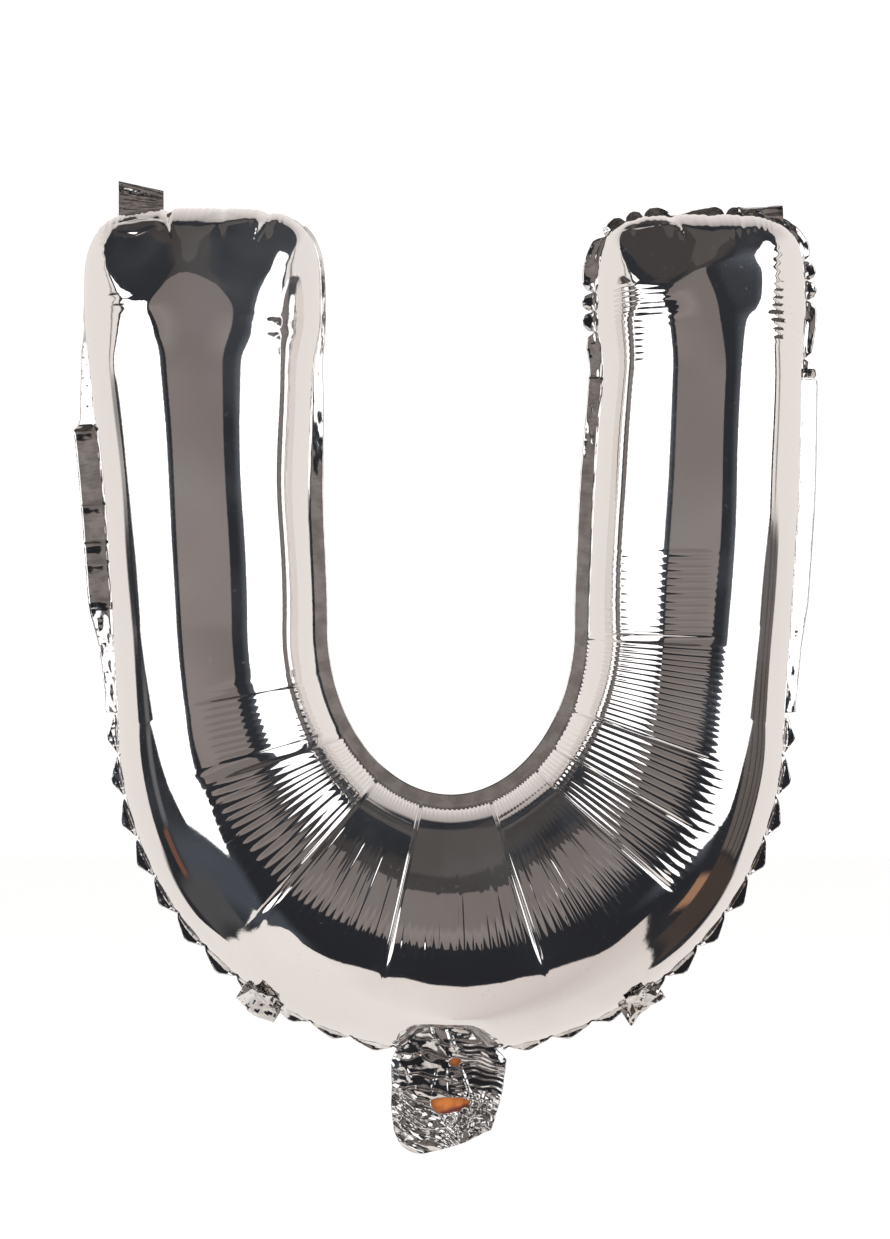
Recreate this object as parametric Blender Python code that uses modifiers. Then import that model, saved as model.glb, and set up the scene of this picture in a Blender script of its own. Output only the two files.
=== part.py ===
# A letter U foil balloon, about 0.39 m tall with its tail, as it is when filled with air.
# Two foil sheets are welded along a seam margin, which also carries four hanging tabs and the filling tail.
# Metres, +Z up, +X to the letter's right, -Y is the front. The origin is the middle of the letter in its seam plane.

import math

import bmesh
import bpy
from mathutils import Vector

# Seam line of the bow: two ellipses, the outer and the inner one
OUTER_A = 0.133
OUTER_B = 0.130
OUTER_CENTRE_Z = -0.040
INNER_A = 0.054
INNER_B = 0.072
INNER_CENTRE_Z = 0.0

# Sections of the letter are numbered by an angle round the outer seam, 0 at its lowest point. They fan out from the
# inner seam, which lags behind, and past BOW_END they are level and cross the legs.
INNER_LAG = 17.5
INNER_LAG_END = 72.0
SIDE_ANGLE = 90.0
BOW_END = SIDE_ANGLE + INNER_LAG

# Legs: they flare a little outwards, and each ends in a pillow with a round-cornered outline
LEG_OUTER_TOP_X = 0.1448
LEG_INNER_MIDDLE_X = 0.056
LEG_INNER_MIDDLE_Z = 0.061
LEG_INNER_TOP_X = 0.0532
NARROW_END_Z = 0.100
PILLOW_START_Z = 0.1235
PILLOW_HEIGHT = 0.0430
PILLOW_POWER = 4.0

# How far the sheets bulge from the seam plane
LEG_BULGE = 0.041
BOW_BULGE = 0.0435

# Foil, thickened so that each sheet is a sturdy solid
SHEET_WALL = 0.0010
MARGIN_THICKNESS = 0.0010
FILM_THICKNESS = 0.0005
VALVE_THICKNESS = 0.0004
GAP = 0.0003

# Divisions of the sheets
BOW_STEP = 2.5
LEG_STATIONS = 6
PILLOW_STATIONS = 6
ACROSS = 10

# Creases that run from the inner seam towards the outer one, as section angles
CREASE_ANGLES = (-92.5, -77.5, -45.0, -15.0, 20.0, 52.5, 65.0, 80.0, 105.0)
CREASE_DEPTH = 0.0022

# Pinches where the foil is gathered along the outer seam of the bow, counted both ways from its lowest point
PINCH_FIRST = 2.5
PINCH_STEP = 7.5
PINCH_DEPTH = 0.0016

# Seam margin: how far it reaches inside and outside the seam line, and how it flutters
MARGIN_INSIDE = 0.0022
MARGIN_LEG_OUTER = 0.0085
MARGIN_LEG_WIDE_Z = (0.010, 0.060)
MARGIN_LEG_NARROW_Z = (-0.040, 0.110)
MARGIN_INNER = 0.0050
MARGIN_BOW = 0.0052
MARGIN_BOW_PINCH = 0.0018
MARGIN_TOP = 0.0035
FLUTTER = 0.0012
NECK_HALF_WIDTH = 0.0115
FITTING_CLEAR = 0.028

# Filling tail below the lowest point of the seam
TAIL_HALF_WIDTH = 0.0232
TAIL_LOW_Z = -0.2110
WINDOW_HALF_WIDTH = 0.0083
WINDOW_TOP_Z = -0.1880
WINDOW_LOW_Z = -0.1990
VALVE_HALF_WIDTH = 0.0100
VALVE_LOW_Z = -0.2050
VALVE_INSIDE = 0.0120

# Hanging tabs
TAB_WIDTH = 0.0180
TAB_THICKNESS = 0.0006
TOP_TAB_X = 0.1240
TOP_TAB_RISE = 0.0095
LOWER_TAB_X = 0.0745
TAB_FOLD_RADIUS = 0.0026


def smooth(value):
    clipped = min(1.0, max(0.0, value))
    return clipped * clipped * (3 - 2 * clipped)


def leg_outer_x(z):
    share = (z - OUTER_CENTRE_Z) / (PILLOW_START_Z - OUTER_CENTRE_Z)
    return OUTER_A + (LEG_OUTER_TOP_X - OUTER_A) * share


def leg_inner_x(z):
    share = smooth(z / LEG_INNER_MIDDLE_Z)
    narrow = smooth((z - NARROW_END_Z) / (PILLOW_START_Z - NARROW_END_Z))
    middle = INNER_A + (LEG_INNER_MIDDLE_X - INNER_A) * share
    return middle + (LEG_INNER_TOP_X - middle) * narrow


def pinch(angle):
    """1 at a pinch of the outer seam, 0 between two pinches and along the legs."""
    if abs(angle) >= SIDE_ANGLE:
        return 0.0
    return (0.5 + 0.5 * math.cos(2 * math.pi * (abs(angle) - PINCH_FIRST) / PINCH_STEP)) ** 2


def outer_seam(angle):
    """Point of the outer seam: on its ellipse, or past its side on the leg."""
    if abs(angle) <= SIDE_ANGLE:
        turn = math.radians(angle)
        gather = PINCH_DEPTH * pinch(angle)
        return (OUTER_A - gather) * math.sin(turn), OUTER_CENTRE_Z - (OUTER_B - gather) * math.cos(turn)
    share = (abs(angle) - SIDE_ANGLE) / (BOW_END - SIDE_ANGLE)
    z = OUTER_CENTRE_Z + (INNER_CENTRE_Z - OUTER_CENTRE_Z) * share
    return math.copysign(leg_outer_x(z), angle), z


def bow_station(angle):
    """Outer and inner seam points, the bulge and the crease of a section of the bow."""
    inner_turn = math.radians(angle - math.copysign(INNER_LAG * smooth(abs(angle) / INNER_LAG_END), angle))
    inner = (INNER_A * math.sin(inner_turn), INNER_CENTRE_Z - INNER_B * math.cos(inner_turn))
    bulge = LEG_BULGE + (BOW_BULGE - LEG_BULGE) * math.cos(inner_turn)
    crease = CREASE_DEPTH if angle in CREASE_ANGLES else 0.0
    return outer_seam(angle), inner, bulge, crease


def section(outer, inner, bulge, crease):
    """One row of the front sheet, from the outer seam to the inner one."""
    row = []
    for j in range(ACROSS + 1):
        turn = math.pi * (j / ACROSS - 0.5)
        across = math.sin(turn)
        share = (1 + across) / 2
        x = outer[0] + (inner[0] - outer[0]) * share
        z = outer[1] + (inner[1] - outer[1]) * share
        depth = math.cos(turn) * (bulge - crease * smooth(across + 0.7))
        row.append(Vector((x, -MARGIN_THICKNESS / 2 - GAP - depth, z)))
    return row


def pillow_row(side, closing):
    """One row of a leg's closed end. The closing angle is 0 where the leg ends and 90 at its top seam."""
    centre_x = (LEG_OUTER_TOP_X + LEG_INNER_TOP_X) / 2
    half = (LEG_OUTER_TOP_X - LEG_INNER_TOP_X) / 2
    up = math.sin(math.radians(closing))
    row = []
    for j in range(ACROSS + 1):
        turn = math.pi * (j / ACROSS - 0.5)
        across = math.sin(turn)
        wide = across * (1 - up**PILLOW_POWER / 2) ** (1 / PILLOW_POWER)
        high = up * (1 - abs(across) ** PILLOW_POWER / 2) ** (1 / PILLOW_POWER)
        depth = LEG_BULGE * math.cos(turn) * math.cos(math.radians(closing))
        row.append(
            Vector(
                (
                    side * (centre_x - half * wide),
                    -MARGIN_THICKNESS / 2 - GAP - depth,
                    PILLOW_START_Z + PILLOW_HEIGHT * high,
                )
            )
        )
    return row


def leg_rows(side):
    """Rows of one leg from its top seam down to the bow."""
    rows = []
    for k in range(PILLOW_STATIONS):
        rows.append(pillow_row(side, 90 * (1 - k / PILLOW_STATIONS)))
    for k in range(LEG_STATIONS):
        z = PILLOW_START_Z + (INNER_CENTRE_Z - PILLOW_START_Z) * k / LEG_STATIONS
        outer = (side * leg_outer_x(z), z)
        inner = (side * leg_inner_x(z), z)
        rows.append(section(outer, inner, LEG_BULGE, 0.0))
    return rows


def bow_angles():
    count = round(2 * BOW_END / BOW_STEP)
    return [BOW_STEP * k - BOW_END for k in range(count + 1)]


def letter_rows():
    """All rows of the front sheet, from the left leg's top round the bow to the right leg's top."""
    rows = leg_rows(-1)
    for angle in bow_angles():
        rows.append(section(*bow_station(angle)))
    rows.extend(reversed(leg_rows(1)))
    return rows


def add_material(name, colour, metallic, roughness):
    material = bpy.data.materials.new(name)
    material.use_nodes = True
    shader = material.node_tree.nodes["Principled BSDF"]
    shader.inputs["Base Color"].default_value = (*colour, 1)
    shader.inputs["Metallic"].default_value = metallic
    shader.inputs["Roughness"].default_value = roughness
    return material


def add_object(name, data, collection, material):
    obj = bpy.data.objects.new(name, data)
    collection.objects.link(obj)
    data.materials.append(material)
    return obj


def strip_mesh(name, rows):
    """A surface through rows of points that all have the same number."""
    mesh = bpy.data.meshes.new(name)
    bm = bmesh.new()
    made = [[bm.verts.new(point) for point in row] for row in rows]
    for row, after in zip(made, made[1:]):
        for j in range(len(row) - 1):
            bm.faces.new((row[j], after[j], after[j + 1], row[j + 1]))
    bmesh.ops.recalc_face_normals(bm, faces=bm.faces)
    bm.to_mesh(mesh)
    bm.free()
    return mesh


def face_normal_at(mesh, direction):
    """Turns the surface so that its middle face looks along the direction."""
    middle = mesh.polygons[len(mesh.polygons) // 2]
    if middle.normal.dot(direction) < 0:
        mesh.flip_normals()


def thicken(obj, thickness, offset):
    wall = obj.modifiers.new("wall", "SOLIDIFY")
    wall.thickness = thickness
    wall.offset = offset
    return wall


def add_sheet(name, rows, front, collection, material):
    """A foil sheet, thickened inwards. The back one is the front one turned over."""
    side = -1 if front else 1
    turned = [[Vector((p.x, -side * p.y, p.z)) for p in row] for row in rows]
    mesh = strip_mesh(name, turned)
    face_normal_at(mesh, Vector((0, side, 0)))
    mesh.shade_smooth()
    obj = add_object(name, mesh, collection, material)
    thicken(obj, SHEET_WALL, -1)
    return obj


def leg_margin_width(z):
    """Width of the margin outside a leg. It is widest half-way down the leg."""
    if z > MARGIN_LEG_WIDE_Z[1]:
        share = (z - MARGIN_LEG_WIDE_Z[1]) / (MARGIN_LEG_NARROW_Z[1] - MARGIN_LEG_WIDE_Z[1])
        return MARGIN_LEG_OUTER + (MARGIN_TOP - MARGIN_LEG_OUTER) * smooth(share)
    share = (MARGIN_LEG_WIDE_Z[0] - z) / (MARGIN_LEG_WIDE_Z[0] - MARGIN_LEG_NARROW_Z[0])
    return MARGIN_LEG_OUTER + (MARGIN_BOW - MARGIN_LEG_OUTER) * smooth(share)


def bow_margin(angle):
    """Width of the margin outside the bow, and how far it flutters towards the back."""
    width = MARGIN_BOW - (MARGIN_BOW - MARGIN_BOW_PINCH) * pinch(angle)
    flutter = FLUTTER * math.sin(2 * math.pi * (abs(angle) - PINCH_FIRST) / PINCH_STEP)
    point = Vector((*outer_seam(angle), 0))
    fittings = (Vector((LOWER_TAB_X, lower_tab_root().z, 0)), Vector((0, OUTER_CENTRE_Z - OUTER_B, 0)))
    near = any((Vector((abs(point.x), point.y, 0)) - fitting).length < FITTING_CLEAR for fitting in fittings)
    return width, 0.0 if near else flutter


def seam_line(rows):
    """The seam's points in order all round, each with its margin's width and flutter.
    It starts at the right side of the neck and leaves the neck open."""
    bow = {PILLOW_STATIONS + LEG_STATIONS + k: angle for k, angle in enumerate(bow_angles())}
    outer = []
    for k, row in enumerate(rows):
        point = row[0]
        if k in bow and abs(bow[k]) < SIDE_ANGLE:
            width, flutter = bow_margin(bow[k])
        elif point.z < PILLOW_START_Z:
            width, flutter = leg_margin_width(point.z), 0.0
        else:
            width, flutter = MARGIN_TOP, 0.0
        outer.append((point, width, flutter))
    inner = [(row[-1], MARGIN_TOP if row[-1].z > PILLOW_START_Z else MARGIN_INNER, 0.0) for row in rows]
    right_top = [(point, MARGIN_TOP, 0.0) for point in rows[-1][1:-1]]
    left_top = [(point, MARGIN_TOP, 0.0) for point in rows[0][-2:0:-1]]
    open_neck = [entry for entry in outer if abs(entry[0].x) > NECK_HALF_WIDTH or entry[0].z > INNER_CENTRE_Z - INNER_B]
    right = [entry for entry in open_neck if entry[0].x > 0]
    left = [entry for entry in open_neck if entry[0].x < 0]
    return right + right_top + inner[::-1] + left_top + left


def margin_rows(line):
    """Rows across the margin, from inside the seam to the margin's edge."""
    rows = []
    for k, (point, width, flutter) in enumerate(line):
        before = line[max(k - 1, 0)][0]
        after = line[min(k + 1, len(line) - 1)][0]
        along = Vector((after.x - before.x, 0, after.z - before.z)).normalized()
        out = Vector((along.z, 0, -along.x))
        seam = Vector((point.x, 0, point.z))
        rows.append([seam - out * MARGIN_INSIDE, seam, seam + out * width + Vector((0, flutter, 0))])
    return rows


def add_margin(rows, collection, material):
    mesh = strip_mesh("seam_margin", margin_rows(seam_line(rows)))
    obj = add_object("seam_margin", mesh, collection, material)
    thicken(obj, MARGIN_THICKNESS, 0)
    return obj


def flat_film(name, outlines, thickness, y, collection, material):
    """A flat film in the XZ plane from closed outlines. The first is its edge and the others are openings."""
    curve = bpy.data.curves.new(name, "CURVE")
    curve.dimensions = "2D"
    curve.fill_mode = "BOTH"
    curve.extrude = thickness / 2
    for outline in outlines:
        spline = curve.splines.new("POLY")
        spline.points.add(len(outline) - 1)
        for point, (x, z) in zip(spline.points, outline):
            point.co = (x, z, 0, 1)
        spline.use_cyclic_u = True
    obj = add_object(name, curve, collection, material)
    obj.rotation_euler = (math.radians(90), 0, 0)
    obj.location = (0, y, 0)
    return obj


def arc(centre, radius, start, end, steps):
    """Points on an arc in the XZ plane, with a radius for each axis."""
    points = []
    for k in range(steps + 1):
        turn = math.radians(start + (end - start) * k / steps)
        points.append((centre[0] + radius[0] * math.cos(turn), centre[1] + radius[1] * math.sin(turn)))
    return points


def tail_outline():
    """The tail's edge: square shoulders, and a foot that slopes up to the right."""
    top = OUTER_CENTRE_Z - OUTER_B + GAP - 0.0010
    wide = TAIL_HALF_WIDTH
    outline = [(-wide, top), (-wide - 0.0006, top - 0.012), (-wide, top - 0.020)]
    outline += arc((-0.0130, -0.1995), (0.0105, 0.0110), 180, 262, 6)
    outline += [(-0.0040, TAIL_LOW_Z + 0.0004)]
    outline += arc((0.0150, -0.1955), (0.0065, 0.0070), 290, 360, 5)
    outline += [(wide - 0.0010, top - 0.010), (wide, top)]
    return outline


def window_outline():
    """A half-moon opening in the tail's front film, where the valve's mouth shows."""
    middle = WINDOW_TOP_Z - 0.0025
    top = arc((0, middle), (WINDOW_HALF_WIDTH, WINDOW_TOP_Z - middle), 0, 180, 10)
    low = arc((0, middle), (WINDOW_HALF_WIDTH, middle - WINDOW_LOW_Z), 180, 360, 14)
    return top + low[1:-1]


def valve_outline():
    top = OUTER_CENTRE_Z - OUTER_B + VALVE_INSIDE
    wide = VALVE_HALF_WIDTH
    return [(-wide, top), (-wide, VALVE_LOW_Z), (wide, VALVE_LOW_Z), (wide, top)]


def add_tail(collection, foil, valve_material):
    """Two foil films with the valve's two thin films between them."""
    valve_y = GAP / 2 + VALVE_THICKNESS / 2
    film_y = MARGIN_THICKNESS / 2 + GAP * 1.5 + FILM_THICKNESS / 2
    flat_film("tail_front_film", [tail_outline(), window_outline()], FILM_THICKNESS, -film_y, collection, foil)
    flat_film("tail_back_film", [tail_outline()], FILM_THICKNESS, film_y, collection, foil)
    flat_film("valve_front_film", [valve_outline()], VALVE_THICKNESS, -valve_y, collection, valve_material)
    flat_film("valve_back_film", [valve_outline()], VALVE_THICKNESS, valve_y, collection, valve_material)


def ribbon(name, path, across, width, collection, material):
    """A tab: a strip of film that follows a path, with its width along the given direction."""
    rows = [[point - across * width / 2, point, point + across * width / 2] for point in path]
    mesh = strip_mesh(name, rows)
    obj = add_object(name, mesh, collection, material)
    thicken(obj, TAB_THICKNESS, 0)
    return obj


def top_tab_root():
    """Middle of the top seam above a hanging tab, on the right leg."""
    centre_x = (LEG_OUTER_TOP_X + LEG_INNER_TOP_X) / 2
    half = (LEG_OUTER_TOP_X - LEG_INNER_TOP_X) / 2
    across = (TOP_TAB_X - centre_x) / half
    high = (1 - across**PILLOW_POWER) ** (1 / PILLOW_POWER)
    return Vector((TOP_TAB_X, 0, PILLOW_START_Z + PILLOW_HEIGHT * high))


def lower_tab_root():
    """The seam point on the right half where a lower tab is joined."""
    across = LOWER_TAB_X / OUTER_A
    return Vector((LOWER_TAB_X, 0, OUTER_CENTRE_Z - OUTER_B * math.sqrt(1 - across * across)))


def add_top_tabs(collection, material):
    """The left tab stands up behind the margin, and the right one is folded back."""
    behind = MARGIN_THICKNESS / 2 + GAP + TAB_THICKNESS / 2
    root = top_tab_root()
    across = Vector((1, 0, 0))
    start = Vector((-root.x, behind, root.z + 0.0010))
    upright = [start, start + Vector((0, 0, TOP_TAB_RISE))]
    ribbon("hang_tab_top_left", upright, across, TAB_WIDTH, collection, material)
    start = Vector((root.x, behind, root.z + 0.0010))
    radius = TAB_FOLD_RADIUS
    folded = [start]
    for k in range(7):
        turn = math.radians(90 * k / 6)
        folded.append(start + Vector((0, radius * (1 - math.cos(turn)), 0.0035 + radius * math.sin(turn))))
    folded.append(folded[-1] + Vector((0, 0.0075, 0)))
    ribbon("hang_tab_top_right", folded, across, TAB_WIDTH, collection, material)


def add_lower_tab(side, collection, material):
    """A tab joined behind the margin and folded forwards and up, over the margin's front."""
    behind = MARGIN_THICKNESS / 2 + GAP + TAB_THICKNESS / 2
    root = lower_tab_root()
    slope = Vector((OUTER_B**2 * root.x, 0, OUTER_A**2 * (root.z - OUTER_CENTRE_Z))).normalized()
    out = Vector((side * slope.x, 0, slope.z))
    across = Vector((out.z, 0, -out.x))
    centre = Vector((side * root.x, 0, root.z))
    radius = TAB_FOLD_RADIUS
    path = [centre + out * 0.0012 + Vector((0, behind, 0))]
    for k in range(9):
        turn = math.radians(180 * k / 8)
        forward = behind - radius * (1 - math.cos(turn))
        path.append(centre + out * (0.0072 + radius * math.sin(turn)) + Vector((0, forward, 0)))
    path.append(path[-1] - out * 0.0090 + Vector((0, -0.0100, 0)))
    path.append(path[-1] - out * 0.0050 + Vector((0, -0.0100, 0)))
    name = "hang_tab_lower_left" if side < 0 else "hang_tab_lower_right"
    ribbon(name, path, across, TAB_WIDTH, collection, material)


def main():
    for obj in list(bpy.data.objects):
        bpy.data.objects.remove(obj)
    balloon = bpy.data.collections.new("letter_foil_balloon")
    bpy.context.scene.collection.children.link(balloon)
    foil = add_material("silver_foil", (0.86, 0.84, 0.83), 1.0, 0.06)
    crumpled = add_material("crumpled_foil", (0.80, 0.79, 0.78), 1.0, 0.15)
    valve = add_material("orange_valve_film", (0.90, 0.35, 0.08), 0.0, 0.30)
    rows = letter_rows()
    add_sheet("front_sheet", rows, True, balloon, foil)
    add_sheet("back_sheet", rows, False, balloon, foil)
    add_margin(rows, balloon, foil)
    add_tail(balloon, crumpled, valve)
    add_top_tabs(balloon, crumpled)
    for side in (-1, 1):
        add_lower_tab(side, balloon, crumpled)


main()
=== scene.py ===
import math

import bpy
import numpy as np
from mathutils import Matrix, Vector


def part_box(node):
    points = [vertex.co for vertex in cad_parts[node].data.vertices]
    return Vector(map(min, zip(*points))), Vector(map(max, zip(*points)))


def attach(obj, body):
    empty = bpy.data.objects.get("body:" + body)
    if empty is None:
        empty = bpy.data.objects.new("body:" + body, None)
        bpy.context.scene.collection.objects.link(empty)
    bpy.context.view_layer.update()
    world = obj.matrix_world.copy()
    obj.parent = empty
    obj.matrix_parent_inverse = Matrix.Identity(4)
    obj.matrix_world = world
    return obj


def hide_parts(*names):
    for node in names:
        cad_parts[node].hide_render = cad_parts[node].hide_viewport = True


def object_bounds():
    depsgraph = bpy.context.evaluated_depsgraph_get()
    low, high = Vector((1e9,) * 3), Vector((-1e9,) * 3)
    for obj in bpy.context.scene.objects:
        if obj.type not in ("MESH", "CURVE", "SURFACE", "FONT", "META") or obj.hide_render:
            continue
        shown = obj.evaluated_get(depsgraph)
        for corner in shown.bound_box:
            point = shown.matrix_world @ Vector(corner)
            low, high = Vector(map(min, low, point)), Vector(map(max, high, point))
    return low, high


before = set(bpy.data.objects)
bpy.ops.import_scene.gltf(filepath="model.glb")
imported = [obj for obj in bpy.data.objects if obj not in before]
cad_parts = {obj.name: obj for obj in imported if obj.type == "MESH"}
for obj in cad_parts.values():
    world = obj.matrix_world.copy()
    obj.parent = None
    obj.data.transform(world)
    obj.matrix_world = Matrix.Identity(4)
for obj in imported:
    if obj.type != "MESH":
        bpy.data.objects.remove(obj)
cadLow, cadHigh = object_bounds()
bpy.ops.object.select_all(action="DESELECT")

sheetLow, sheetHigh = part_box("front_sheet")
mm = 0.001

# The seams: the outer one is half an ellipse and two legs, the inner one is a narrower pair of the same.
# A section is numbered by its angle round the outer seam, 0 at the bottom and negative on the left leg.
letter = {
    "outerHalfWidth": 133 * mm,
    "outerHeight": 130 * mm,
    "outerCentreZ": sheetLow.z + 130 * mm,
    "innerHalfWidth": 54 * mm,
    "innerHeight": 72 * mm,
    "innerLag": 17.5,
    "innerLagEnd": 72,
    "leftFoldLag": 6.4,
    "leftFoldAngle": -77.7,
    "leftFoldSpread": 12,
    "sideAngle": 90,
    "bowEnd": 107.5,
    "legTopZ": 123.5 * mm,
    "outerTopX": sheetHigh.x,
    "innerMiddleX": 56 * mm,
    "innerMiddleZ": 61 * mm,
    "innerTopX": 53.2 * mm,
    "narrowEndZ": 100 * mm,
    "pillowHeight": 43 * mm,
    "pillowPower": 4,
    "pillowSpan": 28.9,
    "legBulge": 41 * mm,
    "bowBulge": 43.5 * mm,
    "seamGap": 0.35 * mm,
    # the filling tail draws the outer seam up, in mm by x, and this share of a section follows it
    "neckRise": [
        (-24, 0), (-20.5, 0.3), (-17.5, 2.2), (-13.5, 6.2), (-8, 8.6), (2, 8.8), (7.5, 7), (11.5, 3.4),
        (15, 0.6), (19, 0)],
    "neckShare": 0.84,
    # how far each leg's top differs from the drawing: outer side, inner side, top
    "leftTop": (1.6 * mm, -1.2 * mm, 0),
    "rightTop": (-3 * mm, 4.2 * mm, -2.4 * mm),
}
legDegree = -letter["outerCentreZ"] / (letter["bowEnd"] - letter["sideAngle"])
legTopAngle = letter["sideAngle"] + (letter["legTopZ"] - letter["outerCentreZ"]) / legDegree
tipAngle = legTopAngle + letter["pillowSpan"]


def smoothStep(value):
    clipped = np.clip(value, 0, 1)
    return clipped * clipped * (3 - 2 * clipped)


def blend(first, second, share):
    return first + (second - first) * share


def bell(value, middle, spread):
    return np.exp(-(((value - middle) / spread) ** 2))


def ramp(value, start, length):
    # rises from 0 to 1 over a length, or falls over a negative one
    return smoothStep((value - start) / length)


def window(value, low, high, fade):
    return ramp(value, low, fade) * ramp(value, high, -fade)


def curveAt(value, points):
    return np.interp(value, *zip(*points))


def waves(seed, points, length, count=7):
    # a gentle irregular field: a few long waves in seeded directions, about -1 to 1
    rng = np.random.default_rng(seed)
    total = np.zeros(len(points))
    for _ in range(count):
        direction = rng.normal(size=points.shape[1])
        direction *= 2 * math.pi / (length * rng.uniform(0.7, 1.6) * np.linalg.norm(direction))
        total += np.sin(points @ direction + rng.uniform(0, 2 * math.pi))
    return total / math.sqrt(count)


def columns(*values):
    return np.stack(values, axis=1)


def resample(at, known, points):
    return columns(*[np.interp(at, known, column) for column in points.T])


def runningSum(steps):
    return np.concatenate([[0], np.cumsum(steps)])


def runLength(points):
    # how far along a line of points each one is
    return runningSum(np.hypot(*np.diff(points, axis=0).T))


def unit(vectors):
    return vectors / np.maximum(np.linalg.norm(vectors, axis=1, keepdims=True), 1e-12)


def topShift(angle, height, which):
    # the two legs aren't quite alike at the top
    share = ramp(height, 40 * mm, 80 * mm)
    return share * np.where(angle < 0, letter["leftTop"][which], letter["rightTop"][which])


def seamPoints(angle, onLeg, legX, legZ, bowX, bowZ, which):
    z = np.where(onLeg, legZ, bowZ)
    x = np.where(onLeg, legX, bowX) + topShift(angle, z, which) * onLeg
    return np.where(angle < 0, -1, 1) * x, z


def outerSeam(angle):
    size = np.abs(angle)
    turn = np.radians(np.minimum(size, letter["sideAngle"]))
    legZ = letter["outerCentreZ"] + (size - letter["sideAngle"]) * legDegree
    legShare = (legZ - letter["outerCentreZ"]) / (letter["legTopZ"] - letter["outerCentreZ"])
    legX = blend(letter["outerHalfWidth"], letter["outerTopX"], legShare)
    bowX = letter["outerHalfWidth"] * np.sin(turn)
    bowZ = letter["outerCentreZ"] - letter["outerHeight"] * np.cos(turn)
    return seamPoints(angle, size > letter["sideAngle"], legX, legZ, bowX, bowZ, 0)


def neckRise(x):
    return curveAt(x / mm, letter["neckRise"]) * mm


def innerSeam(angle):
    size = np.abs(angle)
    lag = letter["innerLag"] * smoothStep(size / letter["innerLagEnd"])
    lag = lag + letter["leftFoldLag"] * bell(angle, letter["leftFoldAngle"], letter["leftFoldSpread"])
    lag = np.minimum(lag, size)
    turn = np.radians(np.minimum(size - lag, 90))
    legZ = (size - letter["bowEnd"]) * legDegree
    wide = smoothStep(legZ / letter["innerMiddleZ"])
    narrow = ramp(legZ, letter["narrowEndZ"], letter["legTopZ"] - letter["narrowEndZ"])
    legX = blend(blend(letter["innerHalfWidth"], letter["innerMiddleX"], wide), letter["innerTopX"], narrow)
    bowX, bowZ = letter["innerHalfWidth"] * np.sin(turn), -letter["innerHeight"] * np.cos(turn)
    return seamPoints(angle, size > letter["bowEnd"], legX, legZ, bowX, bowZ, 1)


# Each leg ends in a pillow: a fuller cap than the leg's round section, flattened lobes, and a roll along
# the seam. Millimetres and degrees. Where the two legs differ, -1 is the left one and 1 the right one.
pillows = {
    # the section grows fuller from one height to another, up to this power
    "capFull": {-1: (102, 132, 3.3), 1: (119, 141, 3.4)},
    # radius of the roll along the seam: at the sides, how much more at the top, and the x where that starts
    "seamRoll": {-1: (32, 13, -128), 1: (32, 16, 56)},
    "rollRise": (142, 18),
    "rollFade": 14,
    "seamReach": 44,
    "blendFrom": 96,
    "blendOver": 30,
    # a lobe: x, depth there, slope to the right, how steeply it closes by height. With no x it is the cap.
    "lobes": {
        -1: [
            (-117, 38.4, 0.48, [(102, 0), (107, -8), (122, -8), (127, 22), (150, 25), (158, 31), (166, 40)]),
            (None, 0, 0, [(128, 0), (138.4, 15), (145.6, 23), (158, 29), (166, 35)]),
            (-86, 39.9, -0.30, [(122, 0), (130, 14), (138, 21), (150, 25), (158, 29), (166, 35)]),
            (-70, 34.2, -0.72, [(128, 0), (136, 12), (144, 27), (154, 36), (166, 44)]),
        ],
        1: [
            (80, 38.9, 0.45, [(124, 0), (131, 17), (136, 27), (150, 36), (160, 42)]),
            (109.7, 39.6, -0.27, [(112, 0), (121, 4), (138, 8), (146, 19), (152, 27), (160, 33)]),
            (128, 33.4, -0.80, [(128, 0), (138, 9), (146, 18), (152, 34), (160, 46)]),
        ],
    },
    # where the top seams are gathered they dip: x, how far down, half width
    "dips": [
        (-112.6, 1.5, 2.2), (-90.4, 0.6, 1.4), (-72.8, 1.7, 2.4), (87.4, 1.2, 2.2), (73, 0.5, 1.6),
        (103, 0.4, 1.5), (116, 0.5, 1.5)],
    "dipPower": 10,
    "grooveDepth": 1.5,
    "grooveFrom": 149,
    "grooveOver": 12,
    # how softly two surfaces meet, and how far from the seam that takes hold
    "edge": 1.6,
    "edgeFade": 3,
    "top": 170,
}


def dropAt(height, closes):
    # how far a lobe has closed at each height, from its slopes
    heights = np.linspace(closes[0][0], pillows["top"], 120)
    slopes = np.tan(np.radians(curveAt(heights, closes)))
    return np.interp(height, heights, runningSum((slopes[1:] + slopes[:-1]) / 2 * np.diff(heights)))


def softLower(first, second, edge):
    # the lower of two surfaces, rounded where they cross
    share = np.clip(0.5 + 0.5 * (second - first) / edge, 0, 1)
    return second + (first - second) * share - edge * share * (1 - share)


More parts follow.
